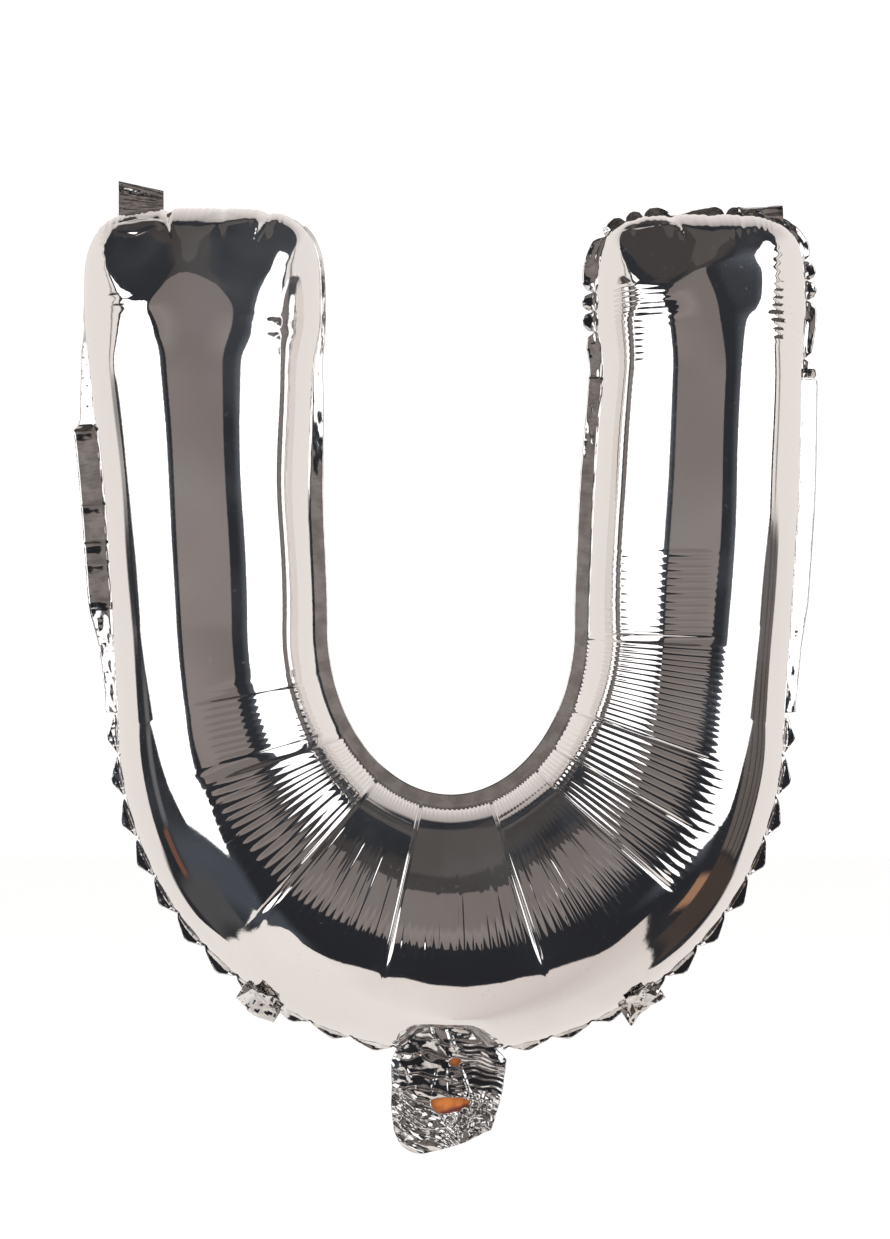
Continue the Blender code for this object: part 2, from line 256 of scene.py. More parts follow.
def legDepth(side, x, z, across, seamShare):
    # how far the foil stands out from the seam plane, on a leg's upper part
    x, z = x / mm, z / mm
    bulge = letter["legBulge"] / mm
    plain = bulge * np.sqrt(np.clip(1 - across**2, 0, 1))
    start, end, full = pillows["capFull"][side]
    power = 2 + (full - 2) * ramp(z, start, end - start)
    cap = bulge * (1 - np.clip(np.abs(across), 0, 1) ** power) ** (1 / power)
    away = np.clip(1 - seamShare, 0, 1) * pillows["seamReach"]
    edge = pillows["edge"] * smoothStep(away / pillows["edgeFade"]) + 0.01
    low, more, past = pillows["seamRoll"][side]
    roll = low + more * ramp(z, *pillows["rollRise"]) * ramp(x, past, pillows["rollFade"])
    depth = softLower(cap, np.sqrt(2 * roll * away), edge)
    for at, deep, slope, closes in pillows["lobes"][side]:
        face = cap if at is None else deep + slope * (x - at)
        depth = softLower(depth, face - dropAt(z, closes), edge)
    high = ramp(z, pillows["grooveFrom"], pillows["grooveOver"])
    for at, drop, spread in pillows["dips"]:
        groove = bell(x, at, spread) * high * smoothStep(away / 2)
        depth = depth - pillows["grooveDepth"] * drop * groove
    share = ramp(z, pillows["blendFrom"], pillows["blendOver"])
    return np.maximum(blend(plain, depth, share), 0) * mm


def plainPoints(angle, turn):
    # the smooth balloon's front, with no folds: turn is -90 at the inner seam and 90 at the outer one
    flatAngle = np.clip(angle, -legTopAngle, legTopAngle)
    outerX, outerZ = outerSeam(flatAngle)
    innerX, innerZ = innerSeam(flatAngle)
    across = np.sin(np.radians(turn))
    share = (1 + across) / 2
    x = blend(innerX, outerX, share)
    z = blend(innerZ, outerZ, share)
    z = z + neckRise(x) * ramp(share, letter["neckShare"], 1 - letter["neckShare"]) * (outerZ < 0)
    lowness = np.clip(-innerZ / letter["innerHeight"], 0, 1)
    bulge = blend(letter["legBulge"], letter["bowBulge"], lowness)
    depth = bulge * np.cos(np.radians(turn))
    closing = np.radians(np.clip((np.abs(angle) - legTopAngle) / letter["pillowSpan"], 0, 1) * 90)
    up = np.sin(closing)
    power = letter["pillowPower"]
    wide = across * (1 - up**power / 2) ** (1 / power)
    high = up * (1 - np.abs(across) ** power / 2) ** (1 / power)
    half = (outerX - innerX) / 2
    x = np.where(up > 0, (outerX + innerX) / 2 + half * wide, x)
    height = letter["pillowHeight"] + topShift(angle, letter["legTopZ"] + z * 0, 2)
    z = np.where(up > 0, letter["legTopZ"] + height * high, z)
    for at, drop, spread in pillows["dips"]:
        z = z - drop * mm * bell(x / mm, at, spread) * high ** pillows["dipPower"]
    seamShare = (np.abs(wide) ** power + np.abs(high) ** power) ** (1 / power)
    for side in (-1, 1):
        upper = (side * angle > letter["bowEnd"]) & (z > pillows["blendFrom"] * mm)
        depth[upper] = legDepth(side, x[upper], z[upper], wide[upper], seamShare[upper])
    return columns(x, -letter["seamGap"] - depth, z)


def plainNormals(angle, turn):
    step = 0.05
    before = plainPoints(np.maximum(angle - step, -tipAngle), turn)
    after = plainPoints(np.minimum(angle + step, tipAngle), turn)
    inside = plainPoints(angle, np.maximum(turn - step, -90))
    outside = plainPoints(angle, np.minimum(turn + step, 90))
    normal = unit(np.cross(after - before, outside - inside))
    return normal * np.where(normal[:, 1:2] > 0, -1, 1)


# Creases run from the inner seam outwards: section angle, depth and half width in mm, where each starts
# and ends.
frontCreases = [
    (-94.5, 0.35, 1.2, -80, -2),
    (-93.2, 0.5, 1.3, -86, 4),
    (-91.8, 0.3, 1.1, -74, 12),
    (-79, 0.3, 1, -84, 8),
    (-77.7, 0.7, 1.5, -90, 20),
    (-76.2, 0.3, 1, -80, 4),
    (-44.7, 0.7, 1.3, -90, 28),
    (-43.4, 0.25, 0.9, -60, 20),
    (-14.4, 0.7, 1.4, -90, 20),
    (20, 0.7, 1.4, -90, 24),
    (52.3, 0.7, 1.3, -90, 29),
    (65.5, 0.5, 1.3, -84, 22),
    (80, 0.5, 1.4, -88, 24),
    (103.6, 0.45, 1.4, -84, 6),
    (105, 0.35, 1.2, -80, 14),
]

# Ripples: section angles from and to, how many, how steep, how far out they reach, how softly they end,
# where they start, and what share of them there is by the inner seam.
frontRipples = [
    (-91.8, -79, 9, 0.045, 2, 6, -60, 0.2),
    (-76.2, -44.7, 13, 0.078, 8, 8, -44, 0.22),
    (-43.4, -14.4, 15, 0.078, 9, 8, -20, 0),
    (-14.4, 20, 17, 0.090, 10, 7, -14, 0),
    (20, 52.3, 17, 0.080, 11, 8, -18, 0.08),
    (52.3, 65.5, 7, 0.095, 22, 6, -44, 0.35),
    (65.5, 80, 8, 0.095, 25, 6, -60, 0.55),
    (80, 103.6, 17, 0.07, 18, 8, -66, 0.5),
    (105, 120.6, 12, 0.04, 6, 10, -66, 0.4),
    (120.6, 152, 25, 0.012, -30, 20, -80, 0.9),
    (153, 158.4, 5, 0.05, -34, 8, -80, 0.8),
    (158.4, 166.6, 8, 0.052, -21, 8, -80, 0.8),
]

# Small folds on the leg tops: a line of points in mm (x, z), with depth and half width in mm.
frontFolds = [
    ([(-112.6, 165), (-111.6, 158), (-109.6, 150)], 0.7, 1.5),
    ([(-72.8, 160), (-74.4, 156), (-76.4, 151)], 0.65, 1.4),
    ([(-90.4, 165.5), (-90.4, 161)], 0.3, 1),
    ([(-143, 144.6), (-137, 144)], 0.5, 1.3),
    ([(-133, 158.6), (-124, 160.6), (-113.5, 159.6)], 0.55, 1.3),
    ([(-131, 154.6), (-124, 153.4), (-115.5, 156.4)], 0.5, 1.1),
    ([(-140, 128), (-131, 129.2), (-123.2, 127.6)], 0.5, 1.3),
    ([(-138, 125.6), (-130, 124.2), (-124, 124.8)], 0.4, 1.1),
    ([(-79, 120), (-66, 116.8), (-58, 117.2)], 0.9, 1.5),
    ([(-72, 112.4), (-60, 111.2)], 0.6, 1.3),
    ([(87, 162), (89.6, 155), (92.6, 148)], 0.7, 1.5),
    ([(64.8, 156.4), (87.2, 158.4)], 0.4, 1.1),
    ([(71.2, 150.8), (74.8, 147.2)], 0.3, 1),
    ([(-70.4, -114.4), (-60.4, -126.8), (-48.4, -135.2), (-30, -139.2)], 0.6, 2.3),
    ([(128, 119), (140, 114)], 0.5, 1.2),
    ([(130, 114), (140, 111.6)], 0.45, 1.1),
]

# Rows of small pleats across a leg's side: x from and to, z from and to, pitch, how steep.
frontPleats = [
    (-148, -135, 128, 163, 2.9, 0.075),
    (124.5, 138, 109, 151, 3.2, 0.125),
]

sheet = {
    "rowsPerRipple": 8,
    "smoothRow": 0.8,
    "pillowRow": 0.45,
    "unevenPitch": 0.15,
    "unevenSteep": 0.16,
    "unevenReach": 1.5,
    "unevenStart": 14,
    "roundEnd": 7,
    "rippleRise": 24,
    "stripPleat": 0.13,
    "strip": (-90, -66, 9),
    "creaseRise": 12,
    "creaseFade": 14,
    "panelCrease": 0.7,
    "panelHeight": 0.8,
    "wobble": 0.25,
    "wobbleLength": 60,
    "pinchStep": 7.5,
    "pinchFirst": 2.5,
    "pinchDepth": 0.8,
    "gatherPitch": 2.6,
    "gatherSteep": 0.11,
    "gatherReach": 11,
    "rightGathers": 8,
    "fineTop": 150 * mm,
    "fineCuts": 2,
}


def planRows(ripples, seed):
    # every row's section angle, its place in its ripple from 0 to 1, and the ripple's width and other numbers
    rng = np.random.default_rng(seed)
    rows = []

    def smoothRows(low, high):
        for start, end, step in (
            (-tipAngle, -legTopAngle, sheet["pillowRow"]),
            (-legTopAngle, legTopAngle, sheet["smoothRow"]),
            (legTopAngle, tipAngle, sheet["pillowRow"]),
        ):
            first, last = max(low, start), min(high, end)
            count = max(1, round((last - first) / step))
            for k in range(count if last > first else 0):
                rows.append((first + (last - first) * k / count, 0, 0, 0, 0, 1, 0, 0))

    at = -tipAngle
    for first, last, count, steep, reach, fade, start, inner in ripples:
        smoothRows(at, first)
        widths = 1 + sheet["unevenPitch"] * rng.uniform(-1, 1, count)
        edges = blend(first, last, runningSum(widths) / widths.sum())
        for low, high in zip(edges, edges[1:]):
            ownSteep = steep * (1 + sheet["unevenSteep"] * rng.uniform(-1, 1))
            ownReach = reach + sheet["unevenReach"] * rng.uniform(-1, 1)
            ownStart = start + sheet["unevenStart"] * rng.uniform(-1, 1)
            for k in range(sheet["rowsPerRipple"]):
                place = k / sheet["rowsPerRipple"]
                shape = (place, high - low, ownSteep, ownReach, fade, ownStart, inner)
                rows.append((blend(low, high, place), *shape))
        at = last
    smoothRows(at, tipAngle)
    rows.append((tipAngle, 0, 0, 0, 0, 1, 0, 0))
    return np.array(rows)


def degreeLength(angle, turn):
    # millimetres along the letter for one degree of section angle
    onBow = 1.15 + 0.58 * (turn + 90) / 90
    return blend(onBow, legDegree / mm, ramp(np.abs(angle), 85, 25))


def ripplesAt(angle, place, width, steep, reach, fade, begin, inner, turn):
    ridge = np.sin(np.pi * place)
    pitch = width * degreeLength(angle, turn)
    # each ripple has a rounded end
    end = smoothStep((reach + fade / 2 - sheet["roundEnd"] * (1 - ridge) - turn) / fade)
    start = inner + (1 - inner) * ramp(turn - begin, -9, sheet["rippleRise"])
    # soft pleats in the strip by the inner seam
    strip = sheet["stripPleat"] * window(turn, *sheet["strip"])
    strip = strip * (steep > 0.06) / np.maximum(steep, 0.01)
    return steep * pitch * ridge * (end * start * ramp(turn, -86, sheet["rippleRise"]) + strip)


def creasesAt(angle, turn, creases):
    # grooves with thin bottoms
    total = np.zeros(len(angle))
    length = degreeLength(angle, turn)
    for middle, depth, halfWidth, start, end in creases:
        away = np.abs(angle - middle) * length
        cut = np.clip(1 - away / halfWidth, 0, 1) ** 1.3
        rise = ramp(turn - start, -sheet["creaseRise"], sheet["creaseRise"])
        total -= depth * cut * rise * ramp(turn, end, -sheet["creaseFade"])
    return total


def panelsAt(angle, turn, creases):
    # between two creases the foil swells a little
    edges = [middle for middle, depth, *_ in creases if depth >= sheet["panelCrease"]]
    total = np.zeros(len(angle))
    for low, high in zip(edges, edges[1:]):
        place = np.clip((angle - low) / (high - low), 0, 1)
        total += np.sin(np.pi * place) ** 0.6 * ((angle > low) & (angle < high))
    across = ramp(turn, -90, 30) * ramp(turn, 40, -40)
    return sheet["panelHeight"] * total * across


def lineDistance(x, z, line):
    # distance to a line of points, and how far along it the nearest point is, from 0 to 1
    best = np.full(len(x), 1e9)
    along = np.zeros(len(x))
    lengths = [math.dist(a, b) for a, b in zip(line, line[1:])]
    done = 0.0
    for (ax, az), (bx, bz), length in zip(line, line[1:], lengths):
        share = np.clip(((x - ax) * (bx - ax) + (z - az) * (bz - az)) / length**2, 0, 1)
        away = np.hypot(x - ax - (bx - ax) * share, z - az - (bz - az) * share)
        nearer = away < best
        best = np.where(nearer, away, best)
        along = np.where(nearer, (done + share * length) / sum(lengths), along)
        done += length
    return best, along


def foldsAt(base, folds):
    total = np.zeros(len(base))
    x, z = base[:, 0] / mm, base[:, 2] / mm
    for line, depth, half in folds:
        away, along = lineDistance(x, z, line)
        cut = np.clip(1 - away / half, 0, 1) ** 1.2
        total -= depth * cut * (0.35 + 0.65 * np.sin(np.pi * np.clip(along, 0.08, 0.92)))
    return total


def seamPinches(angle, turn):
    # where the bow's outer seam is gathered, short valleys run in from it
    size = np.abs(angle)
    place = (size - sheet["pinchFirst"]) / sheet["pinchStep"]
    nearest = np.abs(place - np.round(place)) * sheet["pinchStep"] * 2.3
    onBow = ramp(size, letter["sideAngle"], -4)
    reach = ramp(turn, 68, 20)
    return -sheet["pinchDepth"] * np.clip(1 - nearest / (3.4 - 2 * reach), 0, 1) ** 1.5 * reach * onBow


def topGathers(base, angle, seed):
    # fine pleats under the top seams
    rng = np.random.default_rng(seed)
    bend = rng.uniform(0, 2 * math.pi, 3)
    x, z = base[:, 0] / mm, base[:, 2] / mm
    pitch = sheet["gatherPitch"]
    phase = x / pitch + 0.35 * np.sin(x / 7 + bend[0]) + 0.3 * np.sin(x / 3.1 + bend[1])
    ridge = np.abs(np.sin(np.pi * phase)) ** 0.9
    top = (letter["legTopZ"] + letter["pillowHeight"]) / mm
    reach = sheet["gatherReach"] * (0.8 + 0.4 * np.sin(x / 5 + bend[2]))
    reach = reach + sheet["rightGathers"] * window(x, 92, 132, 6)
    fade = smoothStep((z - top + reach) / (0.45 * reach)) * (np.abs(angle) > legTopAngle)
    return sheet["gatherSteep"] * pitch * ridge * fade


def pleatsAt(base, pleats):
    total = np.zeros(len(base))
    x, z = base[:, 0] / mm, base[:, 2] / mm
    for left, right, low, high, pitch, steep in pleats:
        ridge = np.abs(np.sin(np.pi * (z + 0.5 * np.sin(z / 5)) / pitch))
        total += steep * pitch * ridge * window(x, left, right, 4) * window(z, low, high, 6)
    return total


def foilHeights(base, row, turn, creases, folds, pleats, seed):
    angle = row[0]
    total = ripplesAt(*row, turn)
    total += creasesAt(angle, turn, creases)
    total += panelsAt(angle, turn, creases)
    total += seamPinches(angle, turn)
    total += topGathers(base, angle, seed)
    total += foldsAt(base, folds)
    total += pleatsAt(base, pleats)
    seamFade = ramp(np.abs(turn), 90, -25) * ramp(np.abs(angle), tipAngle, -6)
    total += sheet["wobble"] * waves(seed, base / mm, sheet["wobbleLength"]) * seamFade
    return total * mm


def setMode(mode):
    bpy.ops.object.mode_set(mode=mode)


def clearSelection(kind):
    setMode("EDIT")
    bpy.ops.mesh.select_mode(type=kind)
    bpy.ops.mesh.select_all(action="DESELECT")
    setMode("OBJECT")


def faceOutwards(mesh, sign):
    # the front of the balloon looks towards negative y
    if mesh.polygons[len(mesh.polygons) // 2].normal.y * sign < 0:
        mesh.flip_normals()


def declare(piece, node, material):
    piece.data.materials.append(material)
    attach(piece, "root")
    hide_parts(node)
    print(piece.name, "has", sum(len(face.vertices) - 2 for face in piece.data.polygons), "triangles")


def flatPoints(mesh):
    points = np.empty(len(mesh.vertices) * 3)
    mesh.vertices.foreach_get("co", points)
    return points.reshape(-1, 3)


def makeSheet(name, side, node, ripples, creases, folds, pleats, across, finer, seed, material):
    # the sheet starts as a flat grid: x is the turn across the tube, y the row along the letter
    plan = planRows(ripples, seed)
    rowCount = len(plan) - 1
    piece, _, along = startGrid(name, across, rowCount)
    mesh = piece.data
    # finer where the leg tops are pleated: VERT splits the cells both ways, and EDGE only across the tube
    rows = np.arange(rowCount + 1)
    fineRow = plainPoints(plan[:, 0], 0 * plan[:, 0])[:, 2] > sheet["fineTop"]
    fineRow &= np.abs(plan[:, 0]) > legTopAngle
    clearSelection(finer)
    rowOf = np.rint(along * rowCount).astype(int)
    ends = np.empty(len(mesh.edges) * 2, dtype=int)
    mesh.edges.foreach_get("vertices", ends)
    ends = ends.reshape(-1, 2)
    level = (rowOf[ends[:, 0]] == rowOf[ends[:, 1]]) & fineRow[rowOf[ends[:, 0]]]
    mesh.edges.foreach_set("select", level)
    setMode("EDIT")
    bpy.ops.mesh.select_mode(type="EDGE")
    bpy.ops.mesh.subdivide(number_cuts=sheet["fineCuts"], quadcorner="INNERVERT")
    setMode("OBJECT")
    flat = flatPoints(mesh)
    rowOf = (flat[:, 1] + 1) / 2 * rowCount
    turn = flat[:, 0] * 90
    row = [np.interp(rowOf, rows, column) for column in plan.T]
    angle = row[0]
    points = plainPoints(angle, turn)
    normals = plainNormals(angle, turn)
    heights = foilHeights(points, row, turn, creases, folds, pleats, seed)
    rim = (np.abs(turn) > 89.99) | (np.abs(angle) > tipAngle - 1e-4)
    points += normals * heights[:, None]
    points[rim, 1] = -letter["seamGap"]
    points[:, 1] *= side
    setPoints(piece, points)
    faceOutwards(mesh, -side)
    # a plain face in the seam plane closes it behind, where nothing shows
    setMode("EDIT")
    bpy.ops.mesh.select_all(action="SELECT")
    bpy.ops.mesh.region_to_loop()
    bpy.ops.mesh.mark_sharp()
    bpy.ops.mesh.fill(use_beauty=False)
    bpy.ops.mesh.select_all(action="SELECT")
    bpy.ops.mesh.normals_make_consistent(inside=False)
    setMode("OBJECT")
    mesh.shade_smooth()
    declare(piece, node, material)


def startGrid(name, across, along):
    # a flat grid to shape: each vertex's place across and along it is returned, from 0 to 1
    bpy.ops.object.select_all(action="DESELECT")
    bpy.ops.mesh.primitive_grid_add(x_subdivisions=across, y_subdivisions=along, size=2)
    piece = bpy.context.object
    piece.name = name
    flat = flatPoints(piece.data)
    return piece, (flat[:, 0] + 1) / 2, (flat[:, 1] + 1) / 2


def setPoints(piece, points):
    piece.data.vertices.foreach_set("co", points.ravel())
    piece.data.update()


def finishFilm(piece, node, material, side=1, thickness=0.2 * mm, crisp=False):
    faceOutwards(piece.data, -side)
    modifier = piece.modifiers.new("thickness", "SOLIDIFY")
    modifier.thickness = thickness
    modifier.offset = 0
    bpy.ops.object.modifier_apply(modifier=modifier.name)
    if crisp:
        piece.data.shade_flat()
    else:
        piece.data.shade_smooth()
    declare(piece, node, material)


def crumple(points, seed, sizes):
    # crushed foil: flat facets between sharp folds, as triangle waves in seeded directions, slopes of about 1
    rng = np.random.default_rng(seed)
    total = np.zeros(len(points))
    for size in sizes:
        for _ in range(3):
            direction = rng.normal(size=points.shape[1])
            direction /= np.linalg.norm(direction) * size * rng.uniform(0.7, 1.5)
            sway = rng.normal(size=points.shape[1]) / (1.7 * size)
            bend = 0.22 * np.sin(points @ sway + rng.uniform(0, 2 * math.pi))
            phase = points @ direction + bend + rng.uniform(0, 1)
            total += size / 2 * (np.abs(phase % 1 * 2 - 1) - 0.5)
    return total / math.sqrt(3 * len(sizes))


# The margin outside the seam, by section angle: width in mm, degrees turned back, how crushed.
margin = {
    "rowStep": 0.55,
    "columns": 12,
    "inside": 1.8,
    "neckAngle": 9,
    "outer": [
        (-190.4, 3, 72, 0.3), (-164, 2.6, 74, 0.3), (-160, 1.4, 60, 0.4), (-156, 3, 33, 0.7),
        (-144, 7, 30, 0.7), (-142.9, 8.4, 28, 0.4), (-142.3, 8.6, 3, 0.26), (-113, 8.6, 3, 0.30),
        (-110, 8.4, 12, 0.5), (-104, 6.2, 24, 0.9), (-96, 4.8, 20, 0.9), (-90, 5, 12, 0.4),
        (-34, 5.2, 11, 0.3), (-26, 3.8, 14, 0.8), (-6, 3.4, 14, 0.8), (6, 3.4, 14, 0.8), (26, 3.8, 14, 0.8),
        (34, 5.2, 11, 0.3), (88, 5.2, 11, 0.3), (94, 4.6, 18, 0.5), (104, 6, 30, 0.6), (112, 7.8, 29, 0.35),
        (150, 7.4, 28, 0.35), (154, 4.6, 8, 0.4), (172, 4.6, 8, 0.4), (190.4, 4.2, 22, 0.5)],
    "inner": [
        (-190.4, 2.4, 60, 0.2), (-160, 2.6, 40, 0.2), (-150, 4.6, 32, 0.3), (-140, 5, 18, 0.3),
        (-128, 4.8, 6, 0.06), (0, 4.6, 6, 0.05), (120, 4.8, 6, 0.06), (134, 5, 10, 0.15),
        (140, 4.8, 16, 0.5), (152, 4.4, 4, 0.45), (176, 5.4, 6, 0.5), (190.4, 5.4, 22, 0.6)],
    "leftTop": (2.8, 76, 0.3),
    "rightTop": (4, 21, 0.6),
    # the lobes of the bow lie between these angles, and this share of their width is left at a pinch
    "lobesFrom": 5,
    "lobesTo": 92.5,
    "pinchWidth": 0.10,
    "pinchBack": 30,
    "lobe": [(0, 0), (0.1, 0.3), (0.56, 1), (0.66, 0.96), (0.93, 0.25), (1, 0)],
    "topLobe": [(0, 0), (0.16, 0.75), (0.4, 1), (0.7, 0.95), (0.9, 0.6), (1, 0)],
    "topLobeLength": 13,
    "topLobeUneven": 0.42,
    "topLobesFrom": 151,
    "crumpleSizes": (5, 2.2, 1.1),
    "steep": 0.40,
    "sway": [(0, 0), (0.82, 1), (1, 0)],
    "swayDepth": 3,
    "riseOver": 1.6,
    # creases across the flat strip on the left: where each starts, how deep
    "creases": [(140.2, 0.18), (127.2, 0.16), (120.4, 0.20), (117, 0.14), (110.4, 0.18)],
}


def seamPath():
    # the seam all round, from the right side of the neck to its left side, in even steps
    outer = np.linspace(margin["neckAngle"], tipAngle, 3000)
    across = np.linspace(90, -90, 900)[1:-1]
    inner = np.linspace(tipAngle, -tipAngle, 5000)
    ones = np.ones_like
    angle = np.concatenate([outer, tipAngle * ones(across), inner, -tipAngle * ones(across), -outer[::-1]])
    turn = np.concatenate([90 * ones(outer), across, -90 * ones(inner), across[::-1], 90 * ones(outer)])
    part = np.concatenate([0 * outer, 0 * across + 1, 0 * inner + 2, 0 * across + 3, 0 * outer + 4])
    points = plainPoints(angle, turn)[:, [0, 2]] / mm
    length = runLength(points)
    count = int(length[-1] / margin["rowStep"])
    even = np.linspace(0, length[-1], count + 1)
    part = np.rint(np.interp(even, length, part)).astype(int)
    return even, resample(even, length, points), np.interp(even, length, angle), part


def marginShape():
    even, seam, angle, part = seamPath()
    size = np.abs(angle)
    width, back, crush = np.zeros((3, len(even)))
    for number, name in ((0, "outer"), (2, "inner"), (4, "outer")):
        here = part == number
        keys = list(zip(*margin[name]))
        for values, column in ((width, keys[1]), (back, keys[2]), (crush, keys[3])):
            values[here] = np.interp(angle[here], keys[0], column)
    for number, name in ((1, "rightTop"), (3, "leftTop")):
        here = part == number
        for values, value in zip((width, back, crush), margin[name]):
            values[here] = value
    # lobes between the pinches of the bow, fullest near their lower ends
    place = (size - sheet["pinchFirst"]) / sheet["pinchStep"]
    lobe = curveAt(1 - place % 1, margin["lobe"])
    onBow = ((part == 0) | (part == 4)) & (size < margin["lobesTo"]) & (size > margin["lobesFrom"])
    share = np.where(onBow, lobe, 1.0)
    sway = curveAt(1 - place % 1, margin["sway"]) * onBow * np.sin(np.radians(np.minimum(size, 90)))
    for start, depth in margin["creases"]:
        sway = sway - np.interp(size, [start, start + 1.4, start + 2.2], [0, depth, 0]) * (part == 4)
    # and round the right leg's top
    ends = [even[(part == number) & (size > margin["topLobesFrom"])] for number in (0, 2)]
    first, last = ends[0].min(), even[(part == 2) & (angle > margin["topLobesFrom"])].max()
    count = round((last - first) / margin["topLobeLength"])
    place = (even - first) / (last - first) * count
    place = place + margin["topLobeUneven"] * np.sin(place * 1.9 + 0.6)
    onTop = (even >= first) & (even <= last)
    share = np.where(onTop, curveAt(place % 1, margin["topLobe"]), share)
    sway = np.where(onTop & (part != 1), (0.5 - place % 1) * np.where(part == 0, 1, -1), sway)
    least = margin["pinchWidth"]
    width = width * (least + (1 - least) * share)
    return even, seam, width, back + margin["pinchBack"] * (1 - share) * (1 - onBow), crush, sway


def makeMargin(material):
    even, seam, width, back, crush, sway = marginShape()
    piece, across, along = startGrid("foilMargin", margin["columns"], len(even) - 1)
    row = np.rint(along * (len(even) - 1)).astype(int)
    ahead = seam[np.minimum(np.arange(len(even)) + 2, len(even) - 1)]
    behind = seam[np.maximum(np.arange(len(even)) - 2, 0)]
    step = unit(ahead - behind)
    out = columns(step[:, 1], -step[:, 0])
    reach = -margin["inside"] + across * (margin["inside"] + width[row])
    outside = np.maximum(reach, 0)
    turned = np.radians(back[row])
    flat = np.where(reach > 0, reach * np.cos(turned), reach)
    points = np.zeros((len(row), 3))
    points[:, [0, 2]] = seam[row] + out[row] * flat[:, None]
    folds = crumple(columns(even[row], outside * 1.2), 5, margin["crumpleSizes"])
    swaying = margin["swayDepth"] * sway[row] * smoothStep(outside / margin["riseOver"])
    points[:, 1] = outside * np.sin(turned) + swaying
    points[:, 1] += margin["steep"] * crush[row] * folds * ramp(outside, 0.15, margin["riseOver"])
    setPoints(piece, points * mm)
    finishFilm(piece, "seam_margin", material)


# The filling tail hangs from the neck: its edges in mm (x, z), and its openings with the valve behind them.
tail = {
    "top": [
        (-24, -174.6), (-21.6, -168.5), (-14, -160), (-7.6, -158), (2, -158), (8.4, -160), (14, -165),
        (22.4, -173.6)],
    "low": [
        (-22.8, -201.6), (-19.6, -208), (-15.6, -210.4), (-11.2, -210.9), (-4, -209.2), (7.2, -205.2),
        (16, -200.8)],
    "left": [(-22.8, -201.6), (-24, -191.2), (-23.6, -184), (-24, -174.6)],
    "right": [(16, -200.8), (19.2, -191.2), (20.8, -184.4), (21.2, -180), (22.4, -173.6)],
    "columns": 120,
    "rows": 190,
    "filmY": 1.1,
    "footForward": 0.4,
    "facetTilt": 0.27,
    "facetReturn": 5,
    "footTilt": 0.5,
    "swell": 1.25,
    "openings": [((-0.2, -189.8), 7.9, 1.8, 4.3), ((1.6, -174), 2.3, 1.7, 1.7)],
    "openingTilt": 0.38,
    "openingRim": 1.25,
    "streak": 0.5,
    "footFrom": -185,
    "footForwardFrom": -181,
    "footOver": 6,
    "rimFrom": 0.84,
    # sizes in mm of the crumple: over all, in streaks at the foot, and crushed at the foot
    "bigSizes": (12, 6),
    "streakSizes": (7, 3.6),
    "crushSizes": (6, 3.2),
    "crush": 0.4,
    "stepPitch": 3.4,
    "narrowPitch": 2.1,
    "broadPitch": 7,
    "least": 0.75,
    "most": 5,
    "folds": [
        ([(-4.8, -174), (-8.2, -187.5)], -0.55, 0.8),
        ([(3.6, -175.5), (8, -187.5)], -0.55, 0.8),
        ([(-1.2, -171), (-0.8, -188)], -0.4, 0.7),
        ([(-1.4, -177), (4, -176.4)], 0.4, 0.8),
        ([(-8, -162), (-1, -172)], -1, 1.9),
        ([(-1, -161.6), (2, -170.5)], -0.8, 1.2),
        ([(-13, -169), (-8.4, -174)], -0.8, 1.7),
        ([(-18.6, -176), (-16, -181)], -0.7, 1.3),
    ],
}


def evenly(line, shares):
    points = np.array(line)
    length = runLength(points)
    soft = np.linspace(0, length[-1], 200)
    curve = resample(soft, length, points)
    for _ in range(60):
        curve[1:-1] = (curve[:-2] + 2 * curve[1:-1] + curve[2:]) / 4
    return resample(shares, np.linspace(0, 1, 200), curve)


def openingRadius(x, z, middle, half, up, down):
    # 1 on an opening's edge: the lower edge rises to the right
    across = (x - middle[0]) / half
    height = up if z > middle[1] else down * (1 - tail["openingTilt"] * across)
    return math.hypot(across, (z - middle[1]) / height)


def cutOpenings(piece, openings):
    # faces inside an opening go, and what is left at its rim is drawn onto it
    mesh = piece.data
    clearSelection("FACE")
    for face in mesh.polygons:
        x, z = face.center.x / mm, face.center.z / mm
        for opening in openings:
            face.select |= openingRadius(x, z, *opening) < 1
    setMode("EDIT")
    bpy.ops.mesh.delete(type="FACE")
    bpy.ops.mesh.select_mode(type="VERT")
    bpy.ops.mesh.select_all(action="DESELECT")
    bpy.ops.mesh.select_non_manifold()
    setMode("OBJECT")
    for vertex in mesh.vertices:
        if vertex.select:
            x, z = vertex.co.x / mm, vertex.co.z / mm
            for opening in openings:
                middleX, middleZ = opening[0]
                radius = openingRadius(x, z, *opening)
                if radius < tail["openingRim"]:
                    vertex.co.x = (middleX + (x - middleX) / radius) * mm
                    vertex.co.z = (middleZ + (z - middleZ) / radius) * mm


